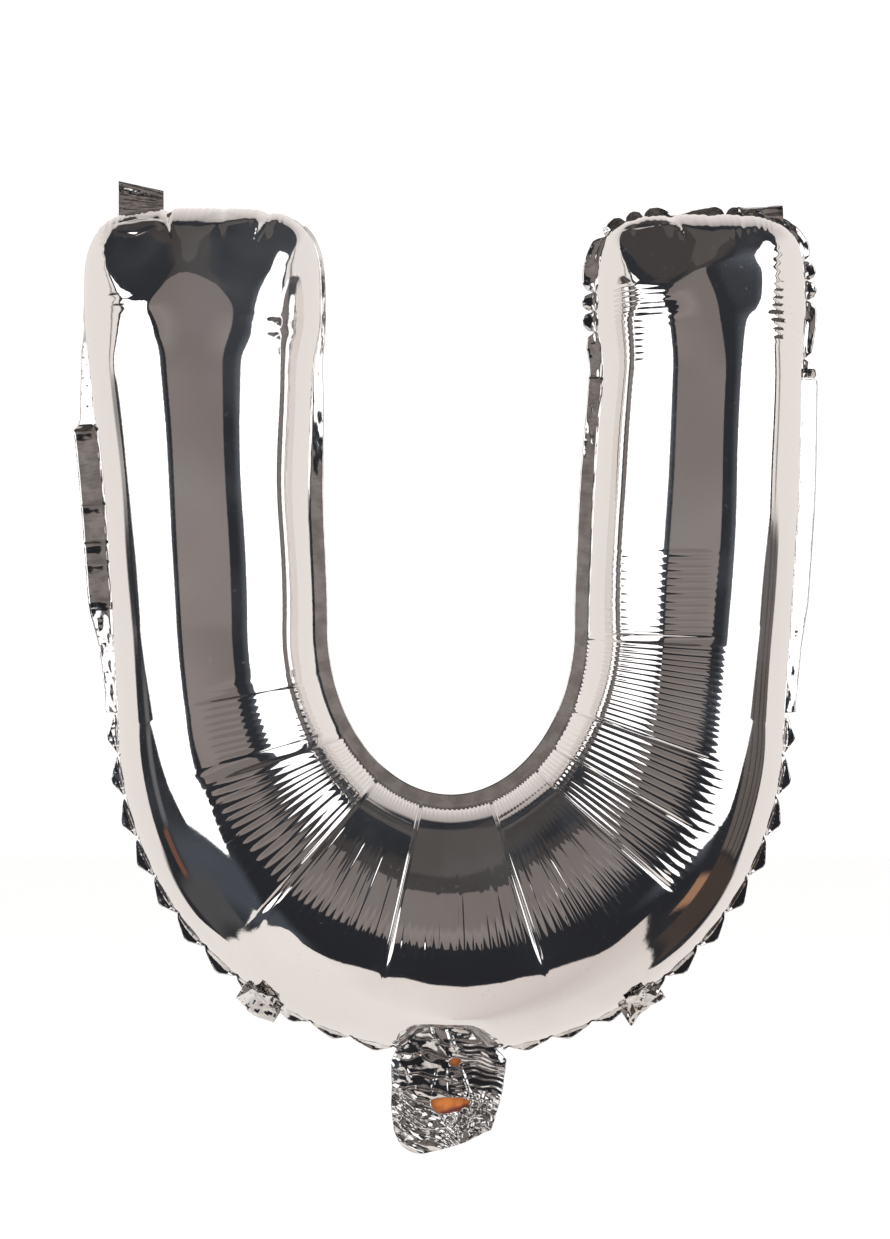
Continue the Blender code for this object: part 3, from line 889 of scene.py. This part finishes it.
def tailHeights(x, z, along, seed, folds):
    # pleated and faceted near the neck, and crushed into streaks at the foot
    flat = columns(x, z)
    foot = smoothStep((tail["footFrom"] - z + 2 * np.sin(x / 5 + seed)) / tail["footOver"])
    middle = bell(x, -2, 7) * bell(z, -176, 12)
    left = ramp(x, -3, -6)
    rim = ramp(along, tail["rimFrom"], 0.1)
    big = 0.05 + 0.16 * middle + 0.09 * left + 0.30 * rim
    big = crumple(flat, seed, tail["bigSizes"]) * big * (1 - foot)
    slant = 0.35 + 0.75 * np.sin(x / 11 + 0.4)
    low = z + 196
    lengthways = (x * np.cos(slant) + low * np.sin(slant)) * tail["streak"]
    crossways = low * np.cos(slant) - x * np.sin(slant)
    fine = crumple(columns(lengthways, crossways), seed + 1, tail["streakSizes"])
    fine = fine + crumple(flat, seed + 2, tail["crushSizes"]) * tail["crush"]
    slope = (z + 0.5 * x + 1.2 * np.sin(x / 3)) / tail["stepPitch"] % 1
    fine = (fine + tail["footTilt"] * tail["stepPitch"] * np.minimum(slope, (1 - slope) * 2.5)) * foot
    # pleats: long faces tilted downwards between short steps, narrow on the right and broad on the left
    pleats = 0
    for pitch, share in ((tail["narrowPitch"], ramp(x, -1, 5)), (tail["broadPitch"], 0.9 * ramp(x, 6, -6))):
        sway = 0.8 * np.sin(x / 4 + pitch) + np.sin(z / 2.7 + x / 6.5) + 0.4 * np.sin(x / 1.7 - z / 4.1)
        phase = (z + 0.12 * (x - 20) + sway) / pitch % 1
        rise = np.minimum(phase, (1 - phase) * tail["facetReturn"])
        pleats = pleats + share * tail["facetTilt"] * pitch * rise
    pleats = pleats * (1 - foot) * (1 - 0.6 * rim)
    base = columns(x, 0 * x, z) * mm
    ease = ramp(z, -210, 3) * 0.6 + 0.4
    swell = tail["swell"] * window(x, -24.5, 22.5, 5) * ramp(z, -211, 6)
    return (big + fine + pleats) * ease + swell + foldsAt(base, folds)


def makeTailFilm(name, side, node, openings, folds, seed, material):
    piece, across, along = startGrid(name, tail["columns"], tail["rows"])
    shares = np.linspace(0, 1, 400)
    # the four edges blended, less the four corners
    low, top, left, right = (
        resample(where, shares, evenly(tail[edge], shares))
        for edge, where in (("low", across), ("top", across), ("left", along), ("right", along))
    )
    corners = [np.array(tail[edge][end]) for edge in ("low", "top") for end in (0, -1)]
    u, v = across[:, None], along[:, None]
    lowCorners = (1 - u) * (1 - v) * corners[0] + u * (1 - v) * corners[1]
    flat = (1 - v) * low + v * top + (1 - u) * left + u * right
    flat -= lowCorners + (1 - u) * v * corners[2] + u * v * corners[3]
    x, z = flat.T
    heights = tailHeights(x, z, along, seed, folds)
    forward = tail["footForward"] * ramp(z, tail["footForwardFrom"], -tail["footOver"]) * ramp(z, -211, 5)
    y = np.clip(-tail["filmY"] - forward - heights, -tail["most"], -tail["least"])
    setPoints(piece, columns(x, side * y, z) * mm)
    cutOpenings(piece, openings)
    finishFilm(piece, node, material, side)


valve = {
    "halfWidth": 10,
    "top": -168,
    "low": -201.5,
    "y": 0.3,
    "wave": 0.10,
    "mostWave": 0.15,
    "waveLength": 9,
    "thickness": 0.12 * mm,
    "columns": 30,
    "rows": 90,
}


def makeValveFilm(name, side, node, seed, material):
    piece, across, along = startGrid(name, valve["columns"], valve["rows"])
    x = (across * 2 - 1) * valve["halfWidth"]
    z = blend(valve["low"], valve["top"], along)
    wave = valve["wave"] * waves(seed, columns(x, z), valve["waveLength"])
    y = -valve["y"] + np.clip(wave, -valve["mostWave"], valve["mostWave"])
    setPoints(piece, columns(x, side * y, z) * mm)
    finishFilm(piece, node, material, side, valve["thickness"])


# Hanging tabs: how each one runs from its root, as (outwards, towards the back) in mm.
tabs = {
    "width": 18,
    "length": 18,
    "flatRoot": 0.25,
    "columns": 44,
    "rows": 60,
    "topX": 124,
    "lowerX": 74.5,
    "steep": {"upright": 0.24, "foldedBack": 0.34, "foldedUp": 0.85},
    "creaseStretch": {"upright": 0.22, "foldedBack": 0.4, "foldedUp": 0.5},
    "taper": {"upright": 0, "foldedBack": 0, "foldedUp": 0.5},
    "crumpleSizes": (8.5, 4.2, 2.4),
    "upright": [(-1.5, 0.9), (2, 1.2), (5, 1.3), (10.5, 1)],
    "foldedBack": [(-1.5, 0.9), (2, 1.2), (4.2, 2.2), (5.2, 4.4), (4.6, 7), (3.6, 11)],
    "foldedUp": [
        (-1, 1), (3, 1), (5.6, 0.6), (7.2, -1), (7, -3.4), (4.4, -6.6), (1.6, -10.4), (-1.6, -15.4),
        (-3.4, -19.6)],
}


def makeTab(name, node, root, out, run, seed, material, ends=0.0):
    piece, across, along = startGrid(name, tabs["columns"], tabs["rows"])
    shares = np.linspace(0, 1, 400)
    way = evenly(tabs[run], shares)
    outward, backward = resample(along, shares, way).T
    slope = unit(np.gradient(way, axis=0))
    normal = resample(along, shares, columns(-slope[:, 1], slope[:, 0])).T
    narrow = 1 - tabs["taper"][run] * smoothStep(along * 1.6 - 0.5)
    side = (across - 0.5) * tabs["width"] * narrow
    outward = outward + ends * side / tabs["width"] * smoothStep(along * 1.4 - 0.3)
    stretched = columns(side * tabs["creaseStretch"][run], along * tabs["length"])
    folds = tabs["steep"][run] * crumple(stretched, seed, tabs["crumpleSizes"])
    folds = folds * smoothStep(along / tabs["flatRoot"])
    outward = outward + normal[0] * folds
    backward = backward + normal[1] * folds
    sideways = np.array([out[1], -out[0]])
    flat = np.array(root) + out * outward[:, None] + sideways * side[:, None]
    setPoints(piece, columns(flat[:, 0], backward, flat[:, 1]) * mm)
    finishFilm(piece, node, material, crisp=True)


def topRoot(side):
    turns = np.linspace(-90, 90, 721)
    points = plainPoints(np.full(721, side * tipAngle), turns) / mm
    nearest = np.argmin(np.abs(points[:, 0] - side * tabs["topX"]))
    return np.array([points[nearest, 0], points[nearest, 2]])


def lowerRoot(side):
    turn = math.asin(tabs["lowerX"] * mm / letter["outerHalfWidth"])
    x, z = outerSeam(np.array([side * math.degrees(turn)]))
    outX, outZ = letter["outerHeight"] * math.sin(turn), letter["outerHalfWidth"] * math.cos(turn)
    out = np.array([side * outX, -outZ])
    return np.array([x[0], z[0]]) / mm, out / np.linalg.norm(out)


# Shader expressions: a wrapped socket adds Math nodes, and makeNode adds any other node.
class Wrapped:
    def __init__(self, tree, socket):
        self.tree = tree
        self.socket = socket

    def maths(self, operation, *values):
        return makeNode(self.tree, "Math", dict(enumerate(values)), operation=operation)

    def between(self, low, high, edge):
        return self.above(low, edge) * (1 - self.above(high, edge))

    def above(self, level, edge):
        limits = {"Value": self, "From Min": level - edge / 2, "From Max": level + edge / 2}
        return makeNode(self.tree, "MapRange", limits, interpolation_type="SMOOTHSTEP")


for word, operation in (("add", "ADD"), ("sub", "SUBTRACT"), ("mul", "MULTIPLY"), ("truediv", "DIVIDE")):
    setattr(Wrapped, "__%s__" % word, lambda self, other, kind=operation: self.maths(kind, self, other))
    setattr(Wrapped, "__r%s__" % word, lambda self, other, kind=operation: self.maths(kind, other, self))


def feed(tree, node, values):
    for key, value in values.items():
        if isinstance(value, Wrapped):
            tree.links.new(value.socket, node.inputs[key])
        else:
            node.inputs[key].default_value = value


def makeNode(tree, kind, values=None, output=0, stops=(), **settings):
    node = tree.nodes.new("ShaderNode" + kind)
    for key, value in settings.items():
        setattr(node, key, value)
    if stops:
        elements = node.color_ramp.elements
        while len(elements) < len(stops):
            elements.new(0.5)
        for element, (position, colour) in zip(elements, stops):
            element.position = position
            element.color = (*colour, 1)
    feed(tree, node, values or {})
    return Wrapped(tree, node.outputs[output]) if node.outputs else None


def split(tree, vector, axis):
    return makeNode(tree, "SeparateXYZ", {"Vector": vector}, axis)


def noise(tree, place, scale, detail):
    return makeNode(tree, "TexNoise", {"Vector": place, "Scale": scale, "Detail": detail})


def bump(tree, height, strength, distance):
    return makeNode(tree, "Bump", {"Height": height, "Strength": strength, "Distance": distance})


def mix(tree, share, first, second):
    # the first colour where the share is 0, the second where it is 1
    first, second = (colour if isinstance(colour, Wrapped) else (*colour, 1) for colour in (first, second))
    return makeNode(tree, "Mix", {"Factor": share, 6: first, 7: second}, 2, data_type="RGBA")


def startMaterial(name):
    material = bpy.data.materials.new(name)
    material.use_nodes = True
    return material, material.node_tree, material.node_tree.nodes["Principled BSDF"]


def silverFoil():
    # mirror-bright metallised film: a thin haze of handling and dust lies over it unevenly
    material, tree, shader = startMaterial("silverFoil")
    place = makeNode(tree, "TexCoord", output="Object")
    cloud = noise(tree, place, 22, 5)
    specks = noise(tree, place, 520, 3)
    grain = bump(tree, noise(tree, place, 900, 2), 0.02, 0.0002)
    both = {"Metallic": 1, "Normal": grain}
    feed(tree, shader, {"Base Color": (0.90, 0.875, 0.86, 1), "Roughness": 0.025 + 0.03 * cloud, **both})
    dusty = makeNode(tree, "BsdfPrincipled", {"Base Color": (0.78, 0.84, 0.92, 1), "Roughness": 0.46, **both})
    share = 0.012 + 0.055 * cloud.above(0.56, 0.22) + 0.10 * specks.above(0.69, 0.05)
    mixed = makeNode(tree, "MixShader", {"Fac": share, 1: Wrapped(tree, shader.outputs["BSDF"]), 2: dusty})
    feed(tree, tree.nodes["Material Output"], {"Surface": mixed})
    return material


def crumpledFoil():
    # the same film where it is crushed: duller, with the fold lines slightly worn
    material, tree, shader = startMaterial("crumpledFoil")
    place = makeNode(tree, "TexCoord", output="Object")
    wear = noise(tree, place, 160, 4)
    tone = mix(tree, wear.above(0.5, 0.3), (0.66, 0.645, 0.635), (0.90, 0.885, 0.87))
    grain = bump(tree, noise(tree, place, 1400, 3), 0.10, 0.0002)
    feed(tree, shader, {"Base Color": tone, "Metallic": 1, "Roughness": 0.06 + 0.08 * wear, "Normal": grain})
    return material


def valveFilm():
    # thin orange polythene, with painted shade: a dark mauve tone at the lower left of the mouth
    material, tree, shader = startMaterial("valveFilm")
    place = makeNode(tree, "TexCoord", output="Object")
    x, z = split(tree, place, "X"), split(tree, place, "Z")
    cloud = noise(tree, place, 240, 3)
    # painted shade: below a slanted line at the mouth's lower left the orange is swapped for a dark mauve
    paintedShade = 1 - (z - 0.30 * x + 0.0014 * cloud).above(-0.1922, 0.0016)
    tone = mix(tree, cloud.above(0.45, 0.3), (0.70, 0.15, 0.03), (0.95, 0.30, 0.05))
    tone = mix(tree, paintedShade, tone, (0.34, 0.085, 0.075))
    ripple = bump(tree, cloud, 0.25, 0.0006)
    feed(tree, shader, {"Base Color": tone, "Roughness": 0.25 + 0.2 * cloud, "Normal": ripple})
    return material


# The room as the foil sees it, by direction in degrees: turn is 0 towards the camera and grows to the right,
# rise is upwards. An edge is a height or a line of (turn, rise) points. Tones go along the turn or the rise.
studio = {
    "dark": (0.021, 0.022, 0.026),
    "walls": (1.12, 1.12, 1.12),
    "edgeReach": 95,
    "tones": {
        "softbox": (1.6, 1.6, 1.6),
        "card": ("rise", -16, 34, [
            (-16, (0.20, 0.178, 0.168)), (0, (0.262, 0.23, 0.22)), (6, (0.196, 0.172, 0.163)),
            (34, (0.178, 0.156, 0.147))]),
        "back": ("rise", -40, 70, [
            (-40, (0.86, 0.815, 0.785)), (24, (0.86, 0.815, 0.785)), (44, (0.64, 0.60, 0.58)),
            (56, (0.46, 0.43, 0.415)), (66, (0.33, 0.31, 0.30))]),
        "floor": ("turn", -180, 180, [
            (-180, (0.86, 0.82, 0.79)), (-40, (0.89, 0.85, 0.82)), (0, (0.79, 0.73, 0.695)),
            (45, (0.67, 0.605, 0.57)), (90, (0.79, 0.735, 0.70)), (180, (0.86, 0.82, 0.79))]),
    },
    "floorEdge": [
        (-180, -36), (-121, -36), (-118, -39), (-110, -45), (-90, -47.6), (-64, -45), (-50, -41),
        (-40, -36.5), (-34, -40), (-30, -43), (-14, -44), (-8, -49.5), (4, -51.6), (16, -49), (20, -46),
        (40, -46.5), (46, -44), (49, -37), (54, -40), (66, -46), (80, -49), (100, -49.6), (120, -48),
        (126, -45), (131, -37), (180, -36)],
    "cardLow": [(-180, 2), (-31, -2), (-26, -6), (-19, -9.5), (-10, -13), (0, -15.5), (180, -15.5)],
    "backTop": [
        (-180, 62), (-140, 58), (-118, 47), (-104, 40), (-98, 30), (-93, 18), (-91, -95), (89, -95),
        (90, 24), (98, 34), (108, 42), (120, 54), (180, 62)],
    "ceilingLow": [
        (-180, 76), (-60, 72), (-36, 64), (-20, 55), (-9, 49), (0, 46), (9, 49), (20, 55), (36, 64),
        (60, 72), (180, 76)],
    "sideDark": [
        (-125, -95), (-121.5, -37), (-119, -33), (-113, -28), (-105, -24), (-102, -12), (-101, -4),
        (-98, -0.5), (-60, -0.5), (-59, -95), (60, -95), (61, -0.5), (101, -1.5), (104, -4), (106, -11),
        (107, -18), (112, -25), (122, -31), (130, -37), (133, -95)],
    "leftBoxLow": [
        (-91, 0), (-90, 0), (-78, -6), (-68, -14), (-62, -20.5), (-48, -22), (-36, -23.5), (-32.6, -22),
        (-31.4, 40)],
    "leftBoxHigh": [
        (-100, -95), (-93, -95), (-91, 19), (-60, 20), (-50, 19), (-42, 15), (-38, 12), (-36.5, 9),
        (-35.5, -6), (-31, -9), (-30, -95)],
    "rightBoxLow": [
        (40, 60), (41.4, -26.5), (50, -26), (60, -23), (70, -18), (74, -10), (80, -5), (88, 0), (90, 60)],
    "rightBoxHigh": [
        (40, -95), (41.4, 35), (50, 40.5), (60, 44), (67, 44), (73, 39), (82, 29), (86, 21), (88, 18),
        (90, -95)],
    # thin upright lines: how strong each is, by turn
    "upperLines": [
        (-100, 0), (-99, 1), (-97.5, 0), (-93, 0), (-92, 1), (-90.5, 0), (85, 0), (86.5, 1), (88, 0),
        (93.5, 0), (95.5, 1), (97, 0)],
    "lowerLines": [
        (82.5, 0), (83.7, 1), (85, 0), (90.5, 0), (92, 1), (93.5, 0), (97.5, 0), (98.5, 1), (99.5, 0)],
    # panels, each over the ones before: tone, low edge, high edge, softness, or one for each edge, and then
    # the turns that it lies between or the lines that it shows in
    "panels": [
        ((0.050, 0.043, 0.041), 47, 95, 9, (-150, 34)),
        ((0.050, 0.043, 0.041), 30, 60, 9, (-34, 30)),
        ((0.083, 0.075, 0.070), "ceilingLow", 95, 4),
        ("card", "cardLow", 32, 1.2, (-30, 24)),
        ("back", -100, "backTop", 5),
        ((0.024, 0.025, 0.029), -95, "sideDark", (1, 6)),
        # what stands beside and under the softboxes
        ((0.066, 0.076, 0.090), -40, -22, 10, (-84, -30)),
        ((0.078, 0.078, 0.082), -45, -33, 6, (-110, -62)),
        ((0.14, 0.14, 0.145), -21, -4, 4, (-89, -83)),
        ((0.17, 0.08, 0.055), -33, -22, 2, (-93, -86)),
        ((0.125, 0.108, 0.10), -27, -1.5, 2, (77, 104)),
        ((0.060, 0.045, 0.038), -47, -28, 3, (78, 118)),
        ((0.36, 0.20, 0.12), -40.5, -33.5, 2.5, (66, 78)),
        ((0.035, 0.032, 0.032), -30, -1, 1, "lowerLines"),
        ((0.06, 0.055, 0.055), 0.5, 26, 4, "upperLines"),
        # a haze round the softboxes' inner edges
        ((0.105, 0.116, 0.134), -22, 12, 6, (-60, -34.5)),
        ((0.095, 0.106, 0.122), -28, 38, 10, (37.5, 60)),
        ("softbox", "leftBoxLow", "leftBoxHigh", 1.2),
        ("softbox", "rightBoxLow", "rightBoxHigh", 1.2),
        ("floor", -100, "floorEdge", 1),
    ],
}


def lightStudio():
    world = bpy.data.worlds.new("studio")
    bpy.context.scene.world = world
    world.use_nodes = True
    tree = world.node_tree
    tree.nodes.clear()
    direction = makeNode(tree, "TexCoord", output="Generated")
    x, y, z = (split(tree, direction, axis) for axis in "XYZ")
    degrees = 180 / math.pi
    along = {"turn": x.maths("ARCTAN2", x, y * -1) * degrees, "rise": z.maths("ARCSINE", z) * degrees}

    def tones(value, low, high, stops):
        # a colour that changes along a value
        stops = [((at - low) / (high - low), colour) for at, colour in stops]
        return makeNode(tree, "ValToRGB", {"Fac": (along[value] - low) / (high - low)}, stops=stops)

    def above(edge, softness):
        # 1 above an edge, 0 below it: an edge's heights are kept as greys from 0 to 1
        height = studio.get(edge, edge)
        if edge in studio:
            reach = studio["edgeReach"]
            greys = [(at, ((rise + reach) / (2 * reach),) * 3) for at, rise in height]
            height = tones("turn", -180, 180, greys) * (2 * reach) - reach
        return (along["rise"] - height).above(0, softness)

    def panel(under, tone, low, high, softness, limits=None):
        lowSoft, highSoft = softness if isinstance(softness, tuple) else (softness, softness)
        mask = above(low, lowSoft) * (1 - above(high, highSoft))
        if isinstance(limits, tuple):
            mask = mask * along["turn"].between(*limits, lowSoft)
        elif limits:
            stops = [(at, (share,) * 3) for at, share in studio[limits]]
            mask = mask * tones("turn", stops[0][0] - 1, stops[-1][0] + 1, stops)
        tone = studio["tones"].get(tone, tone)
        return mix(tree, mask, under, tones(*tone) if len(tone) > 3 else tone)

    colour = studio["dark"]
    for settings in studio["panels"]:
        colour = panel(colour, *settings)
    # only what the foil mirrors is seen so: everything else is lit by plain white walls
    mirrored = makeNode(tree, "LightPath", output="Is Glossy Ray")
    seen = mix(tree, mirrored, studio["walls"], colour)
    glow = makeNode(tree, "Background", {"Color": seen, "Strength": 1})
    makeNode(tree, "OutputWorld", {"Surface": glow})


def layFloor():
    bpy.ops.mesh.primitive_plane_add(size=12, location=(0, 0, cadLow.z - 0.32))
    floor = bpy.context.object
    floor.name = "floor"
    floor.visible_glossy = False
    material, tree, shader = startMaterial("paleFloor")
    feed(tree, shader, {"Base Color": (0.93, 0.925, 0.92, 1), "Roughness": 0.8})
    floor.data.materials.append(material)
    bpy.ops.object.light_add(type="AREA", location=(0, -0.3, 2.2))
    lamp = bpy.context.object
    lamp.name = "overheadLight"
    lamp.data.size = 2.5
    lamp.data.energy = 14
    lamp.visible_glossy = False


def setCamera():
    # the photograph looks straight at the letter from about 1.3 m, near its middle height
    view = {"distance": 1.3, "frameHeight": 0.4956, "x": -2.4 * mm, "z": 2.6 * mm, "sensor": 36.0}
    place = (view["x"], -view["distance"], view["z"])
    bpy.ops.object.camera_add(location=place, rotation=(math.pi / 2, 0, 0))
    camera = bpy.context.object
    camera.data.sensor_width = view["sensor"]
    camera.data.lens = view["distance"] * view["sensor"] / view["frameHeight"]
    bpy.context.scene.camera = camera
    bpy.context.scene.view_settings.view_transform = "Standard"


foil = silverFoil()
crushed = crumpledFoil()
polythene = valveFilm()
frontDetail = frontRipples, frontCreases, frontFolds, frontPleats
makeSheet("foilFront", 1, "front_sheet", *frontDetail, 48, "VERT", 11, foil)
# the back sheet is gathered in the same way, the other way round
backRipples = [(-last, -first, *rest) for first, last, *rest in frontRipples[::-1]]
backCreases = [(-middle, *rest) for middle, *rest in frontCreases]
makeSheet("foilBack", -1, "back_sheet", backRipples, backCreases, [], [], 30, "EDGE", 23, foil)
makeMargin(crushed)
makeTailFilm("tailFront", 1, "tail_front_film", tail["openings"], tail["folds"], 31, crushed)
makeTailFilm("tailBack", -1, "tail_back_film", [], [], 41, crushed)
makeValveFilm("valveFront", 1, "valve_front_film", 3, polythene)
makeValveFilm("valveBack", -1, "valve_back_film", 4, polythene)
up = np.array([0.0, 1.0])
makeTab("topTabLeft", "hang_tab_top_left", topRoot(-1), up, "upright", 51, crushed, -4.0)
makeTab("topTabRight", "hang_tab_top_right", topRoot(1), up, "foldedBack", 52, crushed)
for side, word in ((-1, "Left"), (1, "Right")):
    root, out = lowerRoot(side)
    makeTab("lowerTab" + word, "hang_tab_lower_" + word.lower(), root, out, "foldedUp", 60 + side, crushed)

setCamera()
lightStudio()
layFloor()
